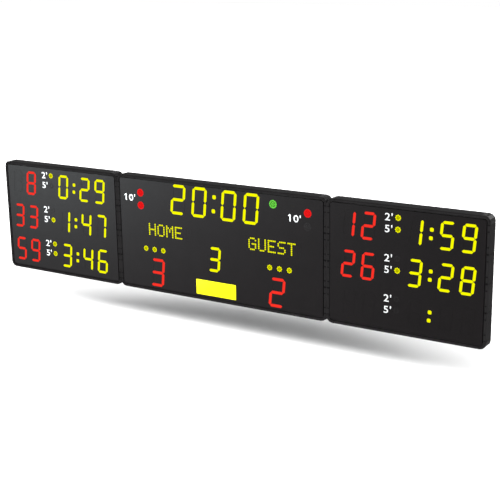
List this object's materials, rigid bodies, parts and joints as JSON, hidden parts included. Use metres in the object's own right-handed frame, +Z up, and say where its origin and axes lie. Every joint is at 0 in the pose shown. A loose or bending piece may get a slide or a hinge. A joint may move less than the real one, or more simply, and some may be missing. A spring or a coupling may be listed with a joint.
{
  "type": "wall-mounted multi-sport electronic scoreboard",
  "caption": "Dark grey electronic scoreboard of three cabinets: match clock, scores and team names in the centre, penalty times on both sides.",
  "frame": {"origin": "centre of the rear face of the upper wall rail, on the wall plane", "axes": "X runs along the board to the viewer's right, Y points into the wall, Z points up; the displays face -Y"},
  "size_m": [5.3726, 0.1333, 1.166],
  "materials": {
    "moulded_grey": "injection-moulded, fine texture",
    "rail_paint": "satin dark grey powder coat on aluminium",
    "face_film": "satin dark paint on aluminium sheet",
    "filter_black": "dark tinted filter, unlit",
    "rear_sheet": "plain aluminium sheet",
    "bare_steel": "zinc-plated",
    "case_metal": "perforated case sheet",
    "black_plastic": "fine texture",
    "plate_yellow": "flat paint"
  },
  "bodies": {
    "frame": {"left_top_rail": "rail_paint", "left_bottom_rail": "rail_paint", "left_left_column": "moulded_grey", "left_right_column": "moulded_grey", "left_top_right_corner": "moulded_grey", "left_top_left_corner": "moulded_grey", "left_bottom_left_corner": "moulded_grey", "left_bottom_right_corner": "moulded_grey", "left_rear_panel": "rear_sheet", "left_hinge_rod": "bare_steel", "left_power_supply": "case_metal", "centre_top_rail": "rail_paint", "centre_bottom_rail": "rail_paint", "centre_left_column": "moulded_grey", "centre_right_column": "moulded_grey", "centre_top_right_corner": "moulded_grey", "centre_top_left_corner": "moulded_grey", "centre_bottom_left_corner": "moulded_grey", "centre_bottom_right_corner": "moulded_grey", "centre_rear_panel": "rear_sheet", "centre_hinge_rod": "bare_steel", "centre_power_supply": "case_metal", "right_top_rail": "rail_paint", "right_bottom_rail": "rail_paint", "right_left_column": "moulded_grey", "right_right_column": "moulded_grey", "right_top_right_corner": "moulded_grey", "right_top_left_corner": "moulded_grey", "right_bottom_left_corner": "moulded_grey", "right_bottom_right_corner": "moulded_grey", "right_rear_panel": "rear_sheet", "right_hinge_rod": "bare_steel", "right_power_supply": "case_metal", "controller": "case_metal", "horn": "black_plastic", "cable_gland": "black_plastic", "switch_housing": "black_plastic", "upper_wall_rail": "bare_steel", "lower_wall_rail": "bare_steel"},
    "left_door": {"left_front_door": "face_film", "left_number_display": "filter_black", "left_time_display": "filter_black"},
    "centre_door": {"centre_front_door": "face_film", "clock_display": "filter_black", "period_display": "filter_black", "home_score_display": "filter_black", "guest_score_display": "filter_black", "home_name_display": "filter_black", "guest_name_display": "filter_black", "name_plate": "plate_yellow"},
    "right_door": {"right_front_door": "face_film", "right_number_display": "filter_black", "right_time_display": "filter_black"},
    "left_latch_1_body": {"left_latch_1": "bare_steel"},
    "left_latch_2_body": {"left_latch_2": "bare_steel"},
    "centre_latch_1_body": {"centre_latch_1": "bare_steel"},
    "centre_latch_2_body": {"centre_latch_2": "bare_steel"},
    "right_latch_1_body": {"right_latch_1": "bare_steel"},
    "right_latch_2_body": {"right_latch_2": "bare_steel"},
    "rocker": {"switch_rocker": "black_plastic"}
  },
  "joints": [
    {"name": "left_door_hinge", "type": "hinge", "parent": "frame", "child": "left_door", "pos_m": [-1.9323, -0.1243, 0.19], "axis": [-1, 0, 0], "range_deg": [0, 90]},
    {"name": "centre_door_hinge", "type": "hinge", "parent": "frame", "child": "centre_door", "pos_m": [0, -0.1243, 0.19], "axis": [-1, 0, 0], "range_deg": [0, 90]},
    {"name": "right_door_hinge", "type": "hinge", "parent": "frame", "child": "right_door", "pos_m": [1.9323, -0.1243, 0.19], "axis": [-1, 0, 0], "range_deg": [0, 90]},
    {"name": "left_latch_1_turn", "type": "hinge", "parent": "frame", "child": "left_latch_1_body", "pos_m": [-2.56566, -0.1073, -0.91], "axis": [0, 0, 1], "range_deg": [0, 90]},
    {"name": "left_latch_2_turn", "type": "hinge", "parent": "frame", "child": "left_latch_2_body", "pos_m": [-1.29894, -0.1073, -0.91], "axis": [0, 0, 1], "range_deg": [0, 90]},
    {"name": "centre_latch_1_turn", "type": "hinge", "parent": "frame", "child": "centre_latch_1_body", "pos_m": [-0.98952, -0.1073, -0.91], "axis": [0, 0, 1], "range_deg": [0, 90]},
    {"name": "centre_latch_2_turn", "type": "hinge", "parent": "frame", "child": "centre_latch_2_body", "pos_m": [0.98952, -0.1073, -0.91], "axis": [0, 0, 1], "range_deg": [0, 90]},
    {"name": "right_latch_1_turn", "type": "hinge", "parent": "frame", "child": "right_latch_1_body", "pos_m": [1.29894, -0.1073, -0.91], "axis": [0, 0, 1], "range_deg": [0, 90]},
    {"name": "right_latch_2_turn", "type": "hinge", "parent": "frame", "child": "right_latch_2_body", "pos_m": [2.56566, -0.1073, -0.91], "axis": [0, 0, 1], "range_deg": [0, 90]},
    {"name": "rocker_tilt", "type": "hinge", "parent": "frame", "child": "rocker", "pos_m": [0.34017, -0.0493, -0.9298], "axis": [0, -1, 0], "range_deg": [0, 16]}
  ]
}
